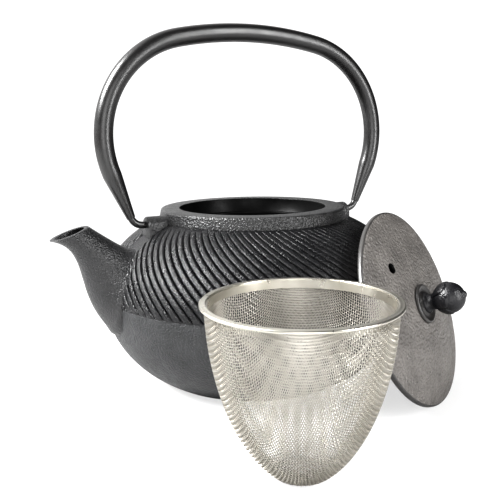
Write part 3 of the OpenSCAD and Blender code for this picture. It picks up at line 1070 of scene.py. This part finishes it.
cad_sharp_angle = 35
for node, look in {
    "enamel_lining": "black_enamel",
    "handle_hook_left": "handle_steel",
    "handle_hook_right": "handle_steel",
    "knob_screw": "plain_steel",
    "screw_washer": "plain_steel",
    "basket_inner_band": "polished_steel",
}.items():
    piece = frame["nodes"][node]
    piece.data.materials.clear()
    piece.data.materials.append(looks[look])
    piece.data.shade_smooth()
    piece.data.set_sharp_from_angle(angle=math.radians(cad_sharp_angle))


# ---------- floor, light and camera ----------

# The floor's tone as the camera sees it, and the darker one that it lights the object with
floor_pale = 0.95
floor_bounce = 0.58

# The floor glows towards white from floor_near to floor_far metres from the origin
floor_glow = 0.6
floor_near = 0.15
floor_far = 0.42

# The world's strength away from its bright side and towards it
ambient = 0.03
bright = 1.2
bright_side = (-0.35, 0.80, 0.50)


def make_floor():
    """A pale floor that fades into the white round it."""
    mesh = bpy.data.meshes.new("floor")
    half = 4.0
    corners = [(-half, -half, 0), (half, -half, 0), (half, half, 0), (-half, half, 0)]
    mesh.from_pydata(corners, [], [(0, 1, 2, 3)])
    floor = bpy.data.objects.new("floor", mesh)
    bpy.context.scene.collection.objects.link(floor)
    material = bpy.data.materials.new("floor")
    material.use_nodes = True
    tree = material.node_tree
    shader = tree.nodes["Principled BSDF"]
    shader.inputs["Roughness"].default_value = 0.75
    shader.inputs["Specular IOR Level"].default_value = 0.2
    paths = add_node(tree, "ShaderNodeLightPath")
    bounce = add_node(tree, "ShaderNodeMix", data_type="RGBA")
    bounce.inputs[color_a].default_value = (floor_bounce, floor_bounce, floor_bounce, 1)
    bounce.inputs[color_b].default_value = (floor_pale, floor_pale, floor_pale, 1)
    tree.links.new(paths.outputs["Is Camera Ray"], bounce.inputs[0])
    tree.links.new(bounce.outputs[color_out], shader.inputs["Base Color"])
    where = add_node(tree, "ShaderNodeTexCoord")
    distance = add_node(tree, "ShaderNodeVectorMath", operation="LENGTH")
    tree.links.new(where.outputs["Object"], distance.inputs[0])
    fade = add_node(tree, "ShaderNodeMapRange", interpolation_type="SMOOTHSTEP")
    fade.inputs["From Min"].default_value = floor_near
    fade.inputs["From Max"].default_value = floor_far
    fade.inputs["To Min"].default_value = floor_glow
    tree.links.new(distance.outputs["Value"], fade.inputs["Value"])
    white = add_node(tree, "ShaderNodeEmission")
    blend = add_node(tree, "ShaderNodeMixShader")
    seen = add_node(tree, "ShaderNodeMath", operation="MULTIPLY")
    tree.links.new(fade.outputs["Result"], seen.inputs[0])
    tree.links.new(paths.outputs["Is Camera Ray"], seen.inputs[1])
    tree.links.new(seen.outputs["Value"], blend.inputs[0])
    tree.links.new(shader.outputs["BSDF"], blend.inputs[1])
    tree.links.new(white.outputs["Emission"], blend.inputs[2])
    tree.links.new(blend.outputs["Shader"], tree.nodes["Material Output"].inputs["Surface"])
    mesh.materials.append(material)


def add_area(name, location, target, size, power):
    """A rectangular light of the given size and watts that faces its target."""
    data = bpy.data.lights.new(name, "AREA")
    data.shape = "RECTANGLE"
    data.size, data.size_y = size
    data.energy = power
    light = bpy.data.objects.new(name, data)
    light.location = location
    light.rotation_mode = "QUATERNION"
    aim = Vector(target) - Vector(location)
    light.rotation_quaternion = aim.to_track_quat("-Z", "Y")
    bpy.context.scene.collection.objects.link(light)


def make_world():
    """A white studio: bright behind and above at the left, dim on the camera's side."""
    world = bpy.data.worlds.new("studio")
    world.use_nodes = True
    tree = world.node_tree
    background = tree.nodes["Background"]
    background.inputs["Color"].default_value = (1, 1, 1, 1)
    direction = add_node(tree, "ShaderNodeTexCoord")
    toward = add_node(tree, "ShaderNodeVectorMath", operation="DOT_PRODUCT")
    toward.inputs[1].default_value = Vector(bright_side).normalized()
    tree.links.new(direction.outputs["Generated"], toward.inputs[0])
    lit = add_node(tree, "ShaderNodeMapRange", interpolation_type="SMOOTHSTEP")
    lit.inputs["From Min"].default_value = 0.35
    lit.inputs["From Max"].default_value = 0.85
    lit.inputs["To Min"].default_value = ambient
    lit.inputs["To Max"].default_value = bright
    tree.links.new(toward.outputs["Value"], lit.inputs["Value"])
    paths = add_node(tree, "ShaderNodeLightPath")
    strength = add_node(tree, "ShaderNodeMix", data_type="FLOAT")
    strength.inputs[float_b].default_value = 1.0
    tree.links.new(paths.outputs["Is Camera Ray"], strength.inputs[0])
    tree.links.new(lit.outputs["Result"], strength.inputs[float_a])
    tree.links.new(strength.outputs[float_out], background.inputs["Strength"])
    bpy.context.scene.world = world


camera_place = (-0.1560, -0.2951, 0.1251)
camera_heading = (0.4631, 0.8863)
camera_pitch = math.radians(10.57)
camera_roll = math.radians(-0.78)
lens_mm = 46.97
sensor_mm = 36


def make_camera():
    """The camera at the front left, looking slightly down."""
    data = bpy.data.cameras.new("camera")
    data.lens = lens_mm
    data.sensor_width = sensor_mm
    camera = bpy.data.objects.new("camera", data)
    camera.location = camera_place
    level = math.cos(camera_pitch)
    forward = Vector((camera_heading[0] * level, camera_heading[1] * level, -math.sin(camera_pitch)))
    turn = forward.to_track_quat("-Z", "Y") @ Quaternion((0, 0, 1), camera_roll)
    camera.rotation_mode = "QUATERNION"
    camera.rotation_quaternion = turn
    bpy.context.scene.collection.objects.link(camera)
    bpy.context.scene.camera = camera


make_floor()
make_world()
make_camera()
add_area("key_left", (-0.75, 0.15, 0.75), (0, 0, 0.05), (0.4, 0.4), 27)
add_area("fill_front", (-0.42, -0.95, 0.24), (0, 0, 0.06), (0.6, 0.6), 4.5)
add_area("fill_right", (0.52, -0.93, 0.40), (0, 0, 0.08), (0.3, 1.1), 13)
view = bpy.context.scene.view_settings
view.view_transform = "Standard"
view.gamma = 0.78
view.exposure = 0.25
